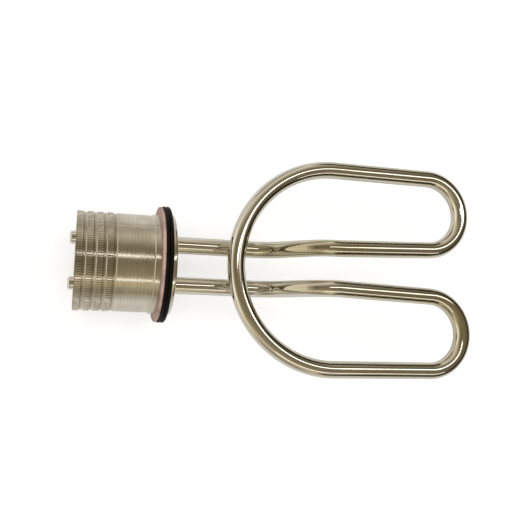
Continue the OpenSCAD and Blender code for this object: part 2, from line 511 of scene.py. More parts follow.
def clear_selection() -> None:
    """Leaves edit mode and deselects every object."""
    if bpy.context.mode != "OBJECT":
        bpy.ops.object.mode_set(mode="OBJECT")
    bpy.ops.object.select_all(action="DESELECT")


def make_active(piece: Object) -> None:
    """Selects one object and nothing else.

    Args:
        piece: The object.
    """
    clear_selection()
    piece.select_set(True)
    bpy.context.view_layer.objects.active = piece


def select_points(piece: Object, wanted: Callable[[Vector], bool]) -> None:
    """Selects the points of a mesh in edit mode by their place.

    Args:
        piece: The object, in edit mode.
        wanted: Tells whether the point at a place is selected.
    """
    mesh = bmesh.from_edit_mesh(piece.data)
    mesh.select_mode = {"VERT"}
    for point in mesh.verts:
        point.select_set(wanted(point.co))
    mesh.select_flush_mode()
    bmesh.update_edit_mesh(piece.data)


def apply_modifier(piece: Object, kind: str, **settings: Any) -> None:
    """Adds a modifier and applies it.

    Args:
        piece: The object that gets it.
        kind: The modifier's type name.
        settings: Its settings.
    """
    make_active(piece)
    modifier = piece.modifiers.new(kind.lower(), kind)
    for name, value in settings.items():
        setattr(modifier, name, value)
    bpy.ops.object.modifier_apply(modifier=modifier.name)


def smooth(piece: Object, degrees: float = 35.0) -> None:
    """Shades a piece smooth, but for its sharp edges.

    Args:
        piece: The object.
        degrees: The angle from which an edge stays sharp.
    """
    make_active(piece)
    bpy.ops.object.shade_smooth_by_angle(angle=math.radians(degrees))


def arc(
    centre: Pair, radius: float, start: float, end: float, steps: int = 6
) -> Outline:
    """Gives points on an arc of an outline.

    Args:
        centre: The arc's centre, as a station and a radius from the axis.
        radius: The arc's own radius.
        start: Where it starts, in degrees from the direction of the axis.
        end: Where it ends.
        steps: How many chords it has.

    Returns:
        The points, both ends among them.
    """
    x, r = centre
    turns = (start + (end - start) * i / steps for i in range(steps + 1))
    angles = [math.radians(turn) for turn in turns]
    return [(x + radius * math.cos(a), r + radius * math.sin(a)) for a in angles]


def turn_outline(
    name: str,
    outline: Outline,
    steps: int,
    axis_y: float = 0.0,
    sweep: float = 360.0,
) -> Object:
    """Turns a closed outline about an axis along X, as a lathe does.

    Args:
        name: The new object's name.
        outline: Stations along the axis and radii from it, in millimetres.
        steps: How many steps the turn has.
        axis_y: Where the axis lies along Y, in millimetres.
        sweep: How far it turns, in degrees; less than 360 leaves two end faces.

    Returns:
        The new object, at the origin, with its place in its mesh.
    """
    clear_selection()
    bpy.ops.mesh.primitive_plane_add(size=MM)
    piece = bpy.context.object
    piece.name = piece.data.name = name
    bpy.ops.object.mode_set(mode="EDIT")
    bpy.ops.mesh.select_all(action="SELECT")
    bpy.ops.mesh.merge(type="CENTER")
    first = Vector((outline[0][0], axis_y + outline[0][1], 0.0)) * MM
    bpy.ops.transform.translate(value=first)
    for here, after in zip(outline, list(outline[1:]) + [outline[0]]):
        step = ((after[0] - here[0]) * MM, (after[1] - here[1]) * MM, 0.0)
        bpy.ops.mesh.extrude_region_move(TRANSFORM_OT_translate={"value": step})
    bpy.ops.mesh.select_all(action="SELECT")
    bpy.ops.mesh.remove_doubles(threshold=SAME_MM * MM)
    if sweep < 360.0:
        bpy.ops.mesh.edge_face_add()
    bpy.ops.mesh.spin(
        steps=steps,
        angle=math.radians(sweep),
        center=(0.0, axis_y * MM, 0.0),
        axis=(1.0, 0.0, 0.0),
    )
    bpy.ops.mesh.select_all(action="SELECT")
    bpy.ops.mesh.remove_doubles(threshold=SAME_SPUN_MM * MM)
    bpy.ops.mesh.normals_make_consistent(inside=False)
    bpy.ops.object.mode_set(mode="OBJECT")
    return piece


def bore_pair(
    piece: Object,
    start: float,
    end: float,
    spacing: float,
    radius: float,
    facets: int = 64,
) -> None:
    """Cuts two round holes along X through a piece, one for each leg.

    Args:
        piece: The object to cut.
        start: Where a hole starts along X, in millimetres.
        end: Where it ends.
        spacing: How far apart the two holes are.
        radius: A hole's radius.
        facets: How many facets a hole has.
    """
    reach = 1.0
    for side in Side:
        clear_selection()
        bpy.ops.mesh.primitive_cylinder_add(
            vertices=facets,
            radius=radius * MM,
            depth=(end - start + 2 * reach) * MM,
            location=((start + end) / 2 * MM, side.y(spacing) * MM, 0.0),
            rotation=(0.0, math.pi / 2, 0.0),
        )
        drill = bpy.context.object
        bpy.ops.object.transform_apply(location=True, rotation=True, scale=True)
        apply_modifier(
            piece, "BOOLEAN", operation="DIFFERENCE", object=drill, solver="EXACT"
        )
        bpy.data.objects.remove(drill)


class SubAssembly:
    """What every sub-assembly shares: how its pieces are dressed."""

    @staticmethod
    def fit(
        piece: Object, finish: Material, slot: str, nodes: Sequence[str] = ()
    ) -> None:
        """Dresses a finished piece and ties it to the part.

        Args:
            piece: The object.
            finish: Its material.
            slot: The record's material slot that the finish belongs to; not used.
            nodes: The part's nodes that the piece stands for.
        """
        piece.data.materials.clear()
        piece.data.materials.append(finish)
        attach(piece, ROOT)
        if nodes:
            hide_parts(*nodes)
        LOG.info("%s: %d faces", piece.name, len(piece.data.polygons))

    @staticmethod
    def repaint(
        nodes: dict[str, Object], names: Sequence[str], finish: Finish
    ) -> None:
        """Gives a finish to nodes that keep their own solids.

        Args:
            nodes: The part's nodes by name.
            names: Those that get the finish.
            finish: The finish.
        """
        material = finish.make()
        for name in names:
            node = nodes[name]
            if not node.material_slots:
                node.data.materials.append(material)
            for slot in node.material_slots:
                slot.material = material
            LOG.info("%s: %s", name, finish.name)


# Sub-assemblies -------------------------------------------------------------


@dataclass
class HeatingTube(SubAssembly):
    """The bent tube, followed run by run from the back leg to the front one."""

    ATTRIBUTE = "before_bending"

    tube_d: float = 8.0
    tube_wall: float = 0.8
    leg_spacing: float = 19.0
    leg_straight: float = 41.0
    joggle_angle: float = 41.2194
    joggle_slope: float = 14.8
    joggle_bend_r: float = 20.0
    leg_splay: float = 2.20435
    splay_bend_r: float = 30.0
    leg_run: float = 46.0
    hairpin_r: float = 17.8
    arm_run: float = 49.0
    tube_end_x: float = -6.0
    facets: int = 64
    step_length: float = 1.5
    least_steps: int = 4

    def half_runs(self) -> list[Run]:
        """Lists the runs of one half, from the leg's end to the loop's middle.

        Returns:
            For each run, its length, or its radius, angle and turn.
        """
        splay = math.radians(self.leg_splay)
        loop_r = (
            self.leg_spacing / 2
            + self.splay_bend_r * (1 - math.cos(splay))
            + self.leg_run * math.sin(splay)
            + self.hairpin_r * (1 + math.cos(splay))
        )
        return [
            (self.leg_straight - self.tube_end_x,),
            (self.joggle_bend_r, self.joggle_angle, Turn.UP),
            (self.joggle_slope,),
            (self.joggle_bend_r, self.joggle_angle, Turn.DOWN),
            (self.splay_bend_r, self.leg_splay, Turn.LEFT),
            (self.leg_run,),
            (self.hairpin_r, 180.0 - self.leg_splay, Turn.LEFT),
            (self.arm_run,),
            (loop_r, 90.0, Turn.LEFT),
        ]

    def build(self) -> Object:
        """Bends the tube and keeps, for each point, its place before bending.

        Returns:
            The tube, a closed shell with its bore open at both ends.
        """
        clear_selection()
        leg_y = Side.BACK.y(self.leg_spacing)
        start = Vector((self.tube_end_x, leg_y, 0.0)) * MM
        bpy.ops.mesh.primitive_circle_add(
            vertices=self.facets,
            radius=self.tube_d / 2 * MM,
            location=start,
            rotation=(0.0, math.pi / 2, 0.0),
        )
        piece = bpy.context.object
        piece.name = piece.data.name = "bent_sheath"
        bpy.ops.object.transform_apply(location=True, rotation=True, scale=True)
        bpy.ops.object.mode_set(mode="EDIT")
        bpy.ops.mesh.select_all(action="SELECT")
        half = self.half_runs()
        frame = Matrix.Translation(start)
        stations: list[tuple[Matrix, float]] = [(frame, 0.0)]
        along = 0.0
        for run in half + half[::-1]:
            if len(run) == 1:
                ahead = frame.to_3x3() @ Vector((run[0] * MM, 0.0, 0.0))
                bpy.ops.mesh.extrude_region_move(
                    TRANSFORM_OT_translate={"value": ahead}
                )
                frame = Matrix.Translation(ahead) @ frame
                along += run[0] * MM
                stations.append((frame, along))
            else:
                frame, along = self.bend(frame, along, run, stations)
        bpy.ops.mesh.select_all(action="SELECT")
        bpy.ops.mesh.normals_make_consistent(inside=False)
        bpy.ops.object.mode_set(mode="OBJECT")
        apply_modifier(
            piece, "SOLIDIFY", thickness=self.tube_wall * MM, offset=-1.0, use_rim=True
        )
        self.remember_straight(piece, stations)
        smooth(piece)
        return piece

    def bend(
        self,
        frame: Matrix,
        along: float,
        run: tuple[float, float, Turn],
        stations: list[tuple[Matrix, float]],
    ) -> tuple[Matrix, float]:
        """Spins the tube's open end round one bend.

        Args:
            frame: The place and turn of the open end.
            along: How much tube lies before it, in metres.
            run: The bend's radius, angle and turn.
            stations: Gets the place of each new ring.

        Returns:
            The place of the new open end, and how much tube lies before it.
        """
        radius, degrees, turn = run
        angle = math.radians(degrees)
        length = radius * angle * MM
        steps = max(self.least_steps, math.ceil(length / (self.step_length * MM)))
        roll = Matrix.Rotation(math.radians(turn.value), 4, "X")
        rolled = frame @ roll
        centre = rolled @ Vector((0.0, radius * MM, 0.0))
        axis = rolled.to_3x3() @ Vector((0.0, 0.0, 1.0))
        # With no window the spin turns against the right-hand rule
        bpy.ops.mesh.spin(steps=steps, angle=-angle, center=centre, axis=axis)
        there, back = Matrix.Translation(centre), Matrix.Translation(-centre)
        for i in range(1, steps + 1):
            part = Matrix.Rotation(angle * i / steps, 4, axis)
            stations.append((there @ part @ back @ frame, along + length * i / steps))
        return stations[-1]

    def remember_straight(
        self, piece: Object, stations: Sequence[tuple[Matrix, float]]
    ) -> None:
        """Stores the place that each point had before the tube was bent.

        Args:
            piece: The bent tube.
            stations: The rings' places and how much tube lies before each.
        """
        tree = KDTree(len(stations))
        for i, (frame, _) in enumerate(stations):
            tree.insert(frame.translation, i)
        tree.balance()
        layer = piece.data.attributes.new(self.ATTRIBUTE, "FLOAT_VECTOR", "POINT")
        for point in piece.data.vertices:
            _, i, _ = tree.find(point.co)
            frame, along = stations[i]
            local = frame.inverted() @ point.co
            layer.data[point.index].vector = (along + local.x, local.y, local.z)

    def dress(self, nodes: dict[str, Object]) -> None:
        """Finishes the tube and what lies inside it.

        Args:
            nodes: The part's nodes by name.
        """
        self.fit(self.build(), DrawnNickelTube().make(), "nickel_tube", ["sheath_tube"])
        # Powder packed by drawing the tube: chalky white, with no shine at all
        packed = DullSolid(
            "packed_magnesia",
            "#F0EEE6",
            second="#DAD6C8",
            roughness=0.95,
            grain_mm=0.25,
        )
        # Resistance wire after its first heating: a dull grey-brown skin
        wire = PlainMetal("oxidised_nickel_chromium_wire", "#8C8479", roughness=0.5)
        # Steel rod, drawn cold and left plain: grey, with a soft even sheen
        pin = PlainMetal("drawn_steel", "#A8A8A4", roughness=0.35)
        # Silicone poured into the tube's ends: cream, matt and slightly cloudy
        seal = DullSolid(
            "cast_silicone", "#D9D0BC", second="#C9BFA8", roughness=0.55, ior=1.41
        )
        self.repaint(nodes, ["magnesia_filling"], packed)
        self.repaint(nodes, ["resistance_coil"], wire)
        self.repaint(nodes, [f"cold_pin_{side.label}" for side in Side], pin)
        self.repaint(nodes, [f"end_seal_{side.label}" for side in Side], seal)


@dataclass
class ScrewedHead(SubAssembly):
    """Flange, floor and spigot, with the tube brazed into two holes."""

    flange_d: float = 46.4
    flange_t: float = 2.2
    flange_round: float = 0.8
    spigot_d: float = 38.0
    spigot_length: float = 22.0
    spigot_bore: float = 31.0
    spigot_chamfer: float = 0.6
    floor_depth: float = 2.0
    plate_seat: float = 1.5
    clip_groove: float = 0.7
    clip_lip: float = 0.8
    clip_t: float = 1.0
    plate_t: float = 4.0
    facets: int = 192
    tube_d: float = 8.0
    tube_play: float = 0.05
    leg_spacing: float = 19.0
    braze_leg: float = 0.9
    braze_hollow: float = 0.92
    braze_gap: float = 0.02
    braze_facets: int = 64

    def build_head(self) -> Object:
        """Turns the head and bores its two holes.

        Returns:
            The head.
        """
        rim_r = self.flange_d / 2
        mouth = -self.spigot_length
        seat_r = self.spigot_bore / 2 + self.plate_seat
        clip_r = seat_r + self.clip_groove
        clip = mouth + self.clip_lip
        plate_back = clip + self.clip_t + self.plate_t
        ease = 0.2
        outline: Outline = [(self.flange_t, 0.0)]
        turned = self.flange_round
        outline += arc((self.flange_t - turned, rim_r - turned), turned, 0.0, 90.0)
        outline += arc((ease, rim_r - ease), ease, 90.0, 180.0, steps=3)
        outline += [
            (0.0, self.spigot_d / 2),
            (mouth + self.spigot_chamfer, self.spigot_d / 2),
            (mouth, self.spigot_d / 2 - self.spigot_chamfer),
            (mouth, seat_r),
            (clip, seat_r),
            (clip, clip_r),
            (clip + self.clip_t, clip_r),
            (clip + self.clip_t, seat_r),
            (plate_back, seat_r),
            (plate_back, self.spigot_bore / 2),
            (-self.floor_depth, self.spigot_bore / 2),
            (-self.floor_depth, 0.0),
        ]
        piece = turn_outline("flanged_head", outline, self.facets)
        hole_r = self.tube_d / 2 + self.tube_play
        bore_pair(piece, -self.floor_depth, self.flange_t, self.leg_spacing, hole_r)
        smooth(piece)
        return piece

    def build_braze(self, side: Side) -> Object:
        """Lays the small hollow fillet of braze round one leg.

        Args:
            side: The leg.

        Returns:
            The fillet.
        """
        tube_r = self.tube_d / 2
        leg = self.braze_leg
        top = self.flange_t + leg
        outline: Outline = [(self.flange_t, tube_r + self.braze_gap)]
        outline += [(top, tube_r + self.braze_gap)]
        hollow = leg * self.braze_hollow
        outline += arc((top, tube_r + leg), hollow, 270.0, 180.0, steps=5)
        outline += [(self.flange_t, tube_r + leg)]
        axis_y = side.y(self.leg_spacing)
        piece = turn_outline(f"braze_{side.label}", outline, self.braze_facets, axis_y)
        smooth(piece, degrees=50.0)
        return piece

    def dress(self) -> None:
        """Finishes the head."""
        # Nickel plate on brass, polished after turning: nearly a mirror, which
        # the last faint rings only just blur along the axis
        plate = TurnedNickel(
            "polished_nickel_on_turned_brass",
            base="#E2DED4",
            second="#D6CFBE",
            roughness=0.16,
            anisotropy=0.5,
            relief_mm=0.006,
        ).make()
        self.fit(self.build_head(), plate, "nickelled_head", ["head"])
        # Braze as it set: yellower and duller than the plate beside it
        braze = PlainMetal("silver_braze", "#D8CFAF", roughness=0.32, grain_mm=0.6)
        set_braze = braze.make()
        for side in Side:
            self.fit(self.build_braze(side), set_braze, "nickelled_head")


@dataclass
class Seals(SubAssembly):
    """The rubber gasket and the fibre washer beside it."""

    gasket_d: float = 54.0
    gasket_t: float = 3.4
    gasket_groove: float = 0.6
    washer_d: float = 53.4
    washer_t: float = 1.3
    washer_round: float = 0.5
    inner_r: float = 19.2
    lip_sweep: float = 140.0
    facets: int = 160

    def build_gasket(self) -> Object:
        """Turns the gasket, with two round lips and a hollow between them.

        Returns:
            The gasket.
        """
        outer = self.gasket_d / 2
        lip = self.gasket_t / 4
        outline: Outline = [(0.0, self.inner_r), (0.0, outer - self.gasket_groove)]
        outline += arc((-lip, outer - lip), lip, 0.0, self.lip_sweep, steps=8)
        outline += [(-self.gasket_t / 2, outer - self.gasket_groove)]
        left_lip = (-self.gasket_t + lip, outer - lip)
        outline += arc(left_lip, lip, 180.0 - self.lip_sweep, 180.0, steps=8)
        outline += [(-self.gasket_t, self.inner_r)]
        piece = turn_outline("lipped_gasket", outline, self.facets)
        smooth(piece, degrees=50.0)
        return piece

    def build_washer(self) -> Object:
        """Turns the washer, with its outer edges rounded by wear.

        Returns:
            The washer.
        """
        outer = self.washer_d / 2
        left = -self.gasket_t - self.washer_t
        worn = self.washer_round
        outline: Outline = [(-self.gasket_t, self.inner_r)]
        right_edge = (-self.gasket_t - worn, outer - worn)
        outline += arc(right_edge, worn, 0.0, 90.0, steps=5)
        outline += arc((left + worn, outer - worn), worn, 90.0, 180.0, steps=5)
        outline += [(left, self.inner_r)]
        piece = turn_outline("pink_washer", outline, self.facets)
        smooth(piece)
        return piece

    def dress(self) -> None:
        """Finishes both rings."""
        # Rubber out of a mould: nearly black, a dull bloom in place of a shine
        rubber = DullSolid(
            "moulded_nitrile_rubber",
            "#0D0C0B",
            second="#070606",
            roughness=0.6,
            ior=1.52,
            specular=0.15,
        ).make()
        # Paper hardened and pressed into sheet: dusty pink, cloudy and matt
        fibre = DullSolid(
            "vulcanised_fibre",
            "#CBAFA8",
            second="#AC8E88",
            roughness=0.7,
            ior=1.48,
            grain_mm=0.35,
            sheen=0.1,
        ).make()
        self.fit(self.build_gasket(), rubber, "black_rubber", ["rubber_gasket"])
        self.fit(self.build_washer(), fibre, "pink_fibre", ["fibre_washer"])


@dataclass
class ShroudNut(SubAssembly):
    """The knurled nut that is also the shroud round the pins.

    Its cross-section is turned with six columns of points to a tooth. The
    floor of each band is then raised but for the fourth column, which stays
    as the narrow flute between two teeth.
    """

    # Marks where shade is painted into the hollows
    ATTRIBUTE = "flute_depth"

    right_x: float = -4.7
    nut_length: float = 36.5
    barrel_d: float = 44.8
    knurl_height: float = 0.15
    knurl_depth: float = 0.2
    knurl_teeth: int = 130
    band_count: int = 4
    band_width: float = 2.75
    groove_width: float = 1.6
    groove_depth: float = 0.35
    groove_slope: float = 0.5
    rim_bevel: float = 0.2
    collar_height: float = 0.5
    collar_width: float = 2.5
    collar_fillet: float = 0.9
    thread_length: float = 18.5
    thread_r: float = 19.1
    cavity_d: float = 40.6
    mouth_ease: float = 0.25
    collar_ease: float = 0.15
    steps_per_tooth: int = 6
    flute_column: int = 3
    tooth_run: float = 0.12
    # How much painted shade the groove corners and the groove floors get
    corner_shade_share: float = 0.85
    groove_shade_share: float = 0.3

    @property
    def flute_r(self) -> float:
        """How far a flute's floor is from the axis."""
        return self.barrel_d / 2 - self.knurl_depth

    @property
    def groove_r(self) -> float:
        """How far a groove's floor is from the axis."""
        return self.barrel_d / 2 - self.groove_depth

    def bands(self) -> list[float]:
        """Where each knurled band starts, from the open end on."""
        first = self.right_x - self.nut_length + self.rim_bevel
        pitch = self.band_width + self.groove_width
        return [first + i * pitch for i in range(self.band_count)]

    def outline(self) -> Outline:
        """Draws the nut's cross-section before the teeth are raised.

        Returns:
            The cross-section.
        """
        barrel = self.barrel_d / 2
        flute, groove = self.flute_r, self.groove_r
        left = self.right_x - self.nut_length
        mouth = self.cavity_d / 2 + self.mouth_ease
        points: Outline = [(left, mouth), (left, barrel - self.rim_bevel)]
        for start in self.bands():
            end = start + self.band_width
            points += [
                (start, barrel),
                (start + self.tooth_run, flute),
                (end - self.tooth_run, flute),
                (end, groove),
                (end + self.groove_width - self.groove_slope, groove),
            ]
        points += [(self.bands()[-1] + self.band_width + self.groove_width, barrel)]
        fillet = self.collar_fillet
        collar = self.right_x - self.collar_width - fillet
        rise = math.degrees(math.acos(1 - self.collar_height / fillet))
        points += arc((collar, barrel + fillet), fillet, 270.0, 270.0 + rise, steps=5)
        top = barrel + self.collar_height
        thread_end = self.right_x - self.thread_length
        points += [
            (self.right_x - self.collar_ease, top),
            (self.right_x, top - self.collar_ease),
            (self.right_x, self.thread_r),
            (thread_end, self.thread_r),
            (thread_end, self.cavity_d / 2),
            (left + self.mouth_ease, self.cavity_d / 2),
        ]
        return points

    def build(self) -> Object:
        """Turns the nut and raises the teeth of its knurl.

        Returns:
            The nut, with its painted shade marked on its points.
        """
        steps = self.knurl_teeth * self.steps_per_tooth
        piece = turn_outline("knurled_shroud_nut", self.outline(), steps)
        make_active(piece)
        bpy.ops.object.mode_set(mode="EDIT")
        self.raise_teeth(piece)
        bpy.ops.object.mode_set(mode="OBJECT")
        self.mark_shaded_hollows(piece)
        smooth(piece, degrees=22.0)
        return piece

    def raise_teeth(self, piece: Object) -> None:
        """Raises the bands' floor to the teeth's tops, but for the flutes.

        Args:
            piece: The nut, in edit mode.
        """
        step = 2 * math.pi / (self.knurl_teeth * self.steps_per_tooth)

        def on_tooth(place: Vector) -> bool:
            """Tells whether a point of the bands' floor is outside the flutes."""
            if abs(math.hypot(place.y, place.z) / MM - self.flute_r) > NEAR_MM:
                return False
            column = round(math.atan2(place.z, place.y) / step) % self.steps_per_tooth
            return column != self.flute_column

        select_points(piece, on_tooth)
        grow = 1 + (self.knurl_height + self.knurl_depth) / self.flute_r
        bpy.ops.transform.resize(
            value=(1.0, grow, grow), center_override=(0.0, 0.0, 0.0)
        )

    def mark_shaded_hollows(self, piece: Object) -> None:
        """Marks the flutes' floors and the grooves, where shade is painted darker.

        Args:
            piece: The nut, with its teeth raised.
        """
        corners = [start + self.band_width for start in self.bands()]
        layer = piece.data.attributes.new(self.ATTRIBUTE, "FLOAT", "POINT")
        for point in piece.data.vertices:
            x, radius = point.co.x / MM, math.hypot(point.co.y, point.co.z) / MM
            # Painted shade: full in the flutes, more in the groove corners than on
            # their floors
            share = float(abs(radius - self.flute_r) < NEAR_MM)
            if abs(radius - self.groove_r) < NEAR_MM:
                in_corner = any(abs(x - corner) < NEAR_MM for corner in corners)
                share = self.corner_shade_share if in_corner else self.groove_shade_share
            layer.data[point.index].value = share

    def dress(self) -> None:
        """Finishes the nut."""
        self.fit(self.build(), TurnedNickel().make(), "satin_nickel", ["shroud_nut"])


@dataclass
class Terminals(SubAssembly):
    """The contact pins, the plate that carries them and its ring."""

    pin_spacing: float = 20.8
    pin_d: float = 6.0
    pin_tip_x: float = -43.8
    pin_round: float = 1.3
    pin_collar_d: float = 9.0
    pin_collar_t: float = 1.5
    shank_d: float = 5.0
    plate_x: float = -20.2
    plate_t: float = 4.0
    plate_r: float = 16.9
    lock_washer_t: float = 0.8
    hex_t: float = 2.7
    tag_end_x: float = -7.0
    tag_width: float = 3.4
    tag_t: float = 1.0
    tag_ease: float = 0.15
    cold_pin_d: float = 2.5
    leg_spacing: float = 19.0
    shank_play: float = 0.05
    ring_t: float = 1.0
    ring_r: float = 17.65
    ring_width: float = 1.9
    ring_gap: float = 40.0
    pin_facets: int = 64
    plate_facets: int = 128
    ring_facets: int = 96

    @property
    def shank_end_x(self) -> float:
        """Where the shank ends and the tag begins."""
        return self.plate_x + self.plate_t + self.lock_washer_t + self.hex_t

    def build_pin(self, side: Side) -> Object:
        """Turns one pin and mills the tag at its inner end.

        Args:
            side: The leg that the pin feeds.

        Returns:
            The pin.
        """
        pin = self.pin_d / 2
        collar = self.pin_collar_d / 2
        shank = self.shank_d / 2
        collar_x = self.plate_x - self.pin_collar_t
        edge = 0.2
        turned = self.pin_round
        outline: Outline = [(self.pin_tip_x, 0.0)]
        tip = (self.pin_tip_x + turned, pin - turned)
        outline += arc(tip, turned, 180.0, 90.0, steps=10)
        outline += [
            (collar_x, pin),
            (collar_x, collar - edge),
            (collar_x + edge, collar),
            (self.plate_x - edge, collar),
            (self.plate_x, collar - edge),
            (self.plate_x, shank),
            (self.shank_end_x - edge, shank),
            (self.shank_end_x, shank - edge),
            (self.shank_end_x, 0.0),
        ]
        axis_y = side.y(self.pin_spacing)
        piece = turn_outline(f"contact_{side.label}", outline, self.pin_facets, axis_y)
        tag = self.build_tag(side)
        clear_selection()
        tag.select_set(True)
        piece.select_set(True)
        bpy.context.view_layer.objects.active = piece
        bpy.ops.object.join()
        smooth(piece)
        return piece

    def build_tag(self, side: Side) -> Object:
        """Mills the flat tag that the cold pin is welded to.

        Args:
            side: The leg that the tag feeds.

        Returns:
            The tag, before it is joined to its pin.
        """
        middle_x = (self.shank_end_x + self.tag_end_x) / 2
        middle_y = side.y(self.leg_spacing + self.cold_pin_d + self.tag_t)
        middle = Vector((middle_x, middle_y, 0.0))
        clear_selection()
        bpy.ops.mesh.primitive_cube_add(size=1.0, location=middle * MM)
        tag = bpy.context.object
        tag.scale = (
            (self.tag_end_x - self.shank_end_x) * MM,
            self.tag_t * MM,
            self.tag_width * MM,
        )
        bpy.ops.object.transform_apply(location=True, rotation=True, scale=True)
        width = self.tag_ease * MM
        apply_modifier(tag, "BEVEL", width=width, segments=2, limit_method="ANGLE")
        return tag

    def build_plate(self) -> Object:
        """Presses the round plate, with eased edges and two holes.

        Returns:
            The plate.
        """
        ease = 0.35
        back = self.plate_x + self.plate_t
        outline: Outline = [
            (self.plate_x, 0.0),
            (self.plate_x, self.plate_r - ease),
            (self.plate_x + ease, self.plate_r),
            (back - ease, self.plate_r),
            (back, self.plate_r - ease),
            (back, 0.0),
        ]
        piece = turn_outline("pin_plate", outline, self.plate_facets)
        hole_r = self.shank_d / 2 + self.shank_play
        bore_pair(piece, self.plate_x, back, self.pin_spacing, hole_r)
        smooth(piece)
        return piece

    def build_ring(self) -> Object:
        """Bends the snap ring, open on one side.

        Returns:
            The ring.
        """
        left = self.plate_x - self.ring_t
        inner = self.ring_r - self.ring_width
        edge = 0.12
        outline: Outline = [
            (left, inner + edge),
            (left, self.ring_r - edge),
            (left + edge, self.ring_r),
            (self.plate_x - edge, self.ring_r),
            (self.plate_x, self.ring_r - edge),
            (self.plate_x, inner + edge),
            (self.plate_x - edge, inner),
            (left + edge, inner),
        ]
        sweep = 360.0 - self.ring_gap
        piece = turn_outline("snap_ring", outline, self.ring_facets, sweep=sweep)
        smooth(piece)
        return piece

    def dress(self, nodes: dict[str, Object]) -> None:
        """Finishes the pins, the plate, the ring and what lies behind them.

        Args:
            nodes: The part's nodes by name.
        """
        # Bright nickel plate: a hard mirror, grey where the tube is warm
        bright = PlainMetal(
            "bright_nickel_plate",
            "#E2E0DC",
            roughness=0.05,
            grain_mm=1.2,
            grain_share=0.05,
        ).make()
        for side in Side:
            pin = self.build_pin(side)
            self.fit(pin, bright, "bright_nickel", [f"contact_pin_{side.label}"])
        # Steatite pressed and fired without a glaze: off-white, dry and gritty
        steatite = DullSolid(
            "pressed_steatite",
            "#E8E2D2",
            second="#D2CAB6",
            roughness=0.75,
            grain_mm=0.3,
        ).make()
        self.fit(self.build_plate(), steatite, "steatite", ["insulating_plate"])
        # Spring steel with a phosphate coat: dark grey and half matt
        spring = PlainMetal("phosphated_spring_steel", "#6E7173", roughness=0.42)
        self.fit(self.build_ring(), spring.make(), "spring_steel", ["retaining_ring"])
        self.repaint(nodes, ["lock_washers"], spring)
        # Brass turned from bar and left bare: yellow, with a soft shine
        brass = PlainMetal("bare_turned_brass", "#D9BF78", roughness=0.3)
        self.repaint(nodes, ["hex_nuts"], brass)


# Studio ---------------------------------------------------------------------


@dataclass(frozen=True)
class Lamp:
    """A soft rectangular lamp that shines at the middle of the part.

    Its place and size are in metres, and its roll about its beam in degrees.
    Metal shows it where it is mirrored.
    """

    name: str
    place: Triple
    size: Pair
    watts: float
    roll: float = 0.0
    mirrored: bool = True


@dataclass(frozen=True)
class Glow:
    """A brighter part of the room, which is added to it.

    Its stops run over how far a ray points toward it, from the edge, where the
    glow begins, to where it is full.
    """

    toward: Triple
    edge: float
    full: float
    stops: Stops


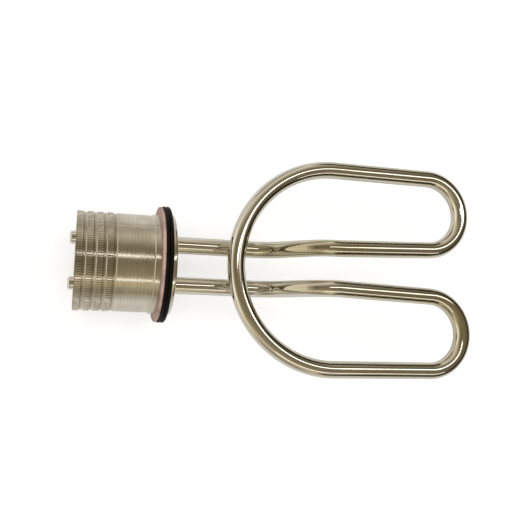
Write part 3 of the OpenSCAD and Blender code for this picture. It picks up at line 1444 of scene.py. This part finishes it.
@dataclass
class Studio:
    """Camera, lamps, surroundings and floor.

    The room's ramp runs up from the horizon. The far wall's ramp does too, and
    darkens what lies along +X, where the tube looks but the nut doesn't: it
    gives the tube its dark contour lines.
    """

    lens_mm: float = 48.326
    sensor_mm: float = 36.0
    nearest: float = 0.01
    camera_mm: Triple = (-43.52, -38.62, 318.01)
    camera_turn: Triple = (7.489, -15.460, 1.147)
    target_mm: Triple = (45.0, 0.0, 10.0)
    room: Stops = (
        (0.0, "#A9A8A3"),
        (0.02, "#85827A"),
        (0.07, "#6E695C"),
        (0.40, "#625C4C"),
        (0.80, "#756C58"),
        (0.93, "#8A7F69"),
        (1.0, "#867B65"),
    )
    glows: tuple[Glow, ...] = (
        Glow(
            (-1.0, 0.0, 0.0),
            0.62,
            1.0,
            (
                (0.0, BLACK),
                (0.35, "#7A7468"),
                (0.5, "#9E947F"),
                (0.72, "#E4DCCB"),
                (0.85, WHITE),
            ),
        ),
        Glow(
            (-0.3, 1.0, 0.0),
            0.40,
            1.0,
            (
                (0.0, BLACK),
                (0.25, "#565146"),
                (0.5, "#A29C91"),
                (0.75, "#CDC7BD"),
                (0.93, "#D6D1C8"),
                (1.0, "#8A857B"),
            ),
        ),
        Glow(
            (-0.3, -1.0, 0.0),
            0.15,
            1.0,
            (
                (0.0, BLACK),
                (0.35, "#4A4538"),
                (0.45, "#7A7362"),
                (0.6, "#8A826F"),
                (0.8, "#CBC1A9"),
                (0.93, "#B9B09A"),
                (1.0, "#6A6455"),
            ),
        ),
    )
    far_wall: Stops = (
        (0.04, WHITE),
        (0.09, "#3A362E"),
        (0.34, "#3A362E"),
        (0.46, WHITE),
    )
    far_wall_edge: float = 0.14
    far_wall_full: float = 0.25
    floor_z: float = -27.2
    floor_size: float = 3.0
    # The paper is painted dimmer away from its middle: a painted falloff of light
    paper: str = "#CDCFD3"
    far_paper_painted_dim: str = "#9C9D9F"
    paper_middle: Triple = (0.08, 0.06, 0.0)
    paper_near: float = 0.18
    paper_far: float = 0.48
    seen_glow: float = 0.55
    mirrored_glow: float = 0.2
    lamps: tuple[Lamp, ...] = (
        Lamp("ceiling_strip", (0.30, 0.145, 0.68), (0.66, 0.068), 0.45, 10.0),
        Lamp("ceiling_strip_end", (0.47, 0.085, 0.70), (0.20, 0.055), 0.05, 9.0),
        Lamp("window_strip", (0.28, -0.58, 0.56), (0.90, 0.07), 0.34),
        Lamp("fill", (0.05, 0.0, 1.30), (1.5, 1.5), 13.0, mirrored=False),
    )

    def place_camera(self) -> None:
        """Puts the camera where the photograph was taken from."""
        data = bpy.data.cameras.new("camera")
        data.lens = self.lens_mm
        data.sensor_width = self.sensor_mm
        data.clip_start = self.nearest
        camera = bpy.data.objects.new("camera", data)
        camera.location = Vector(self.camera_mm) * MM
        camera.rotation_euler = [math.radians(a) for a in self.camera_turn]
        bpy.context.scene.collection.objects.link(camera)
        bpy.context.scene.camera = camera

    def hang_lamps(self) -> None:
        """Hangs the lamps, each turned to the middle of the part."""
        target = Vector(self.target_mm) * MM
        for lamp in self.lamps:
            data = bpy.data.lights.new(lamp.name, "AREA")
            data.shape = "RECTANGLE"
            data.size, data.size_y = lamp.size
            data.energy = lamp.watts
            holder = bpy.data.objects.new(lamp.name, data)
            holder.location = lamp.place
            holder.visible_glossy = lamp.mirrored
            aim = (Vector(lamp.place) - target).normalized()
            across = (Vector((1.0, 0.0, 0.0)) - aim * aim.x).normalized()
            level = Matrix((across, aim.cross(across), aim)).transposed()
            rolled = level @ Matrix.Rotation(math.radians(lamp.roll), 3, "Z")
            holder.rotation_euler = rolled.to_euler()
            bpy.context.scene.collection.objects.link(holder)

    def fill_world(self) -> None:
        """Makes the room that the metal mirrors, darkest at the far wall."""
        world = bpy.data.worlds.new("room")
        bpy.context.scene.world = world
        add = empty_tree(world)
        place = add("TexCoord")
        way = add("SeparateXYZ", links={"Vector": (place, "Generated")})
        room = add("ValToRGB", links={"Fac": (way, "Z")})
        set_ramp(room, self.room)
        colour: Input = (room, "Color")
        for glow in self.glows:
            toward = add(
                "VectorMath",
                {"operation": "DOT_PRODUCT"},
                {1: glow.toward},
                {0: (place, "Generated")},
            )
            share = add(
                "MapRange",
                values={"From Min": glow.edge, "From Max": glow.full},
                links={"Value": (toward, "Value")},
            )
            ramp = add("ValToRGB", links={"Fac": (share, "Result")})
            set_ramp(ramp, glow.stops)
            lit = add("Mix", ADD, {"Factor": 1.0}, {6: colour, 7: (ramp, "Color")})
            colour = (lit, 2)
        wall = add("ValToRGB", links={"Fac": (way, "Z")})
        set_ramp(wall, self.far_wall)
        far = add(
            "MapRange",
            values={"From Min": self.far_wall_edge, "From Max": self.far_wall_full},
            links={"Value": (way, "X")},
        )
        walled = add(
            "Mix",
            MULTIPLY,
            links={"Factor": (far, "Result"), 6: colour, 7: (wall, "Color")},
        )
        light = add("Background", links={"Color": (walled, 2)})
        add("OutputWorld", links={"Surface": (light, "Background")})

    def lay_floor(self) -> None:
        """Lays the floor: pale paper that glows where the camera or metal looks.

        The glow makes it white behind the part, and in what metal mirrors, and
        it leaves the shadow in place. Away from its middle the paper is painted
        darker, a painted falloff of light.
        """
        clear_selection()
        bpy.ops.mesh.primitive_plane_add(
            size=self.floor_size, location=(0.0, 0.0, self.floor_z * MM)
        )
        floor = bpy.context.object
        floor.name = "floor"
        material = bpy.data.materials.new("pale_floor")
        add = empty_tree(material)
        place = add("TexCoord")
        away = add(
            "VectorMath",
            {"operation": "DISTANCE"},
            {1: self.paper_middle},
            {0: (place, "Object")},
        )
        # Painted falloff of light: the paper darkens from its middle outward
        share = add(
            "MapRange",
            values={"From Min": self.paper_near, "From Max": self.paper_far},
            links={"Value": (away, "Value")},
        )
        paper = add("ValToRGB", links={"Fac": (share, "Result")})
        set_ramp(paper, [(0.0, self.paper), (1.0, self.far_paper_painted_dim)])
        matt = add("BsdfDiffuse", links={"Color": (paper, "Color")})
        rays = add("LightPath")
        mirrored = add(
            "Math",
            {"operation": "MAXIMUM"},
            links={0: (rays, "Is Glossy Ray"), 1: (rays, "Is Transmission Ray")},
        )
        dim = add(
            "Math",
            {"operation": "MULTIPLY"},
            {1: self.mirrored_glow},
            {0: (mirrored, "Value")},
        )
        level = add(
            "Math",
            {"operation": "MULTIPLY_ADD"},
            {1: self.seen_glow},
            {0: (rays, "Is Camera Ray"), 2: (dim, "Value")},
        )
        glow = add("Emission", links={"Strength": (level, "Value")})
        both = add("AddShader", links={0: (matt, "BSDF"), 1: (glow, "Emission")})
        add("OutputMaterial", links={"Surface": (both, "Shader")})
        floor.data.materials.append(material)

    def set_up(self) -> None:
        """Sets up everything round the part."""
        bpy.context.scene.view_settings.view_transform = "Standard"
        self.place_camera()
        self.hang_lamps()
        self.fill_world()
        self.lay_floor()


def main() -> None:
    """Builds and dresses the part, piece by piece."""
    logging.basicConfig(level=logging.INFO, format="%(name)s %(message)s")
    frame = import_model()
    nodes = frame["nodes"]
    Studio().set_up()
    HeatingTube().dress(nodes)
    ScrewedHead().dress()
    Seals().dress()
    ShroudNut().dress()
    Terminals().dress(nodes)
    clear_selection()


if __name__ == "__main__":
    main()
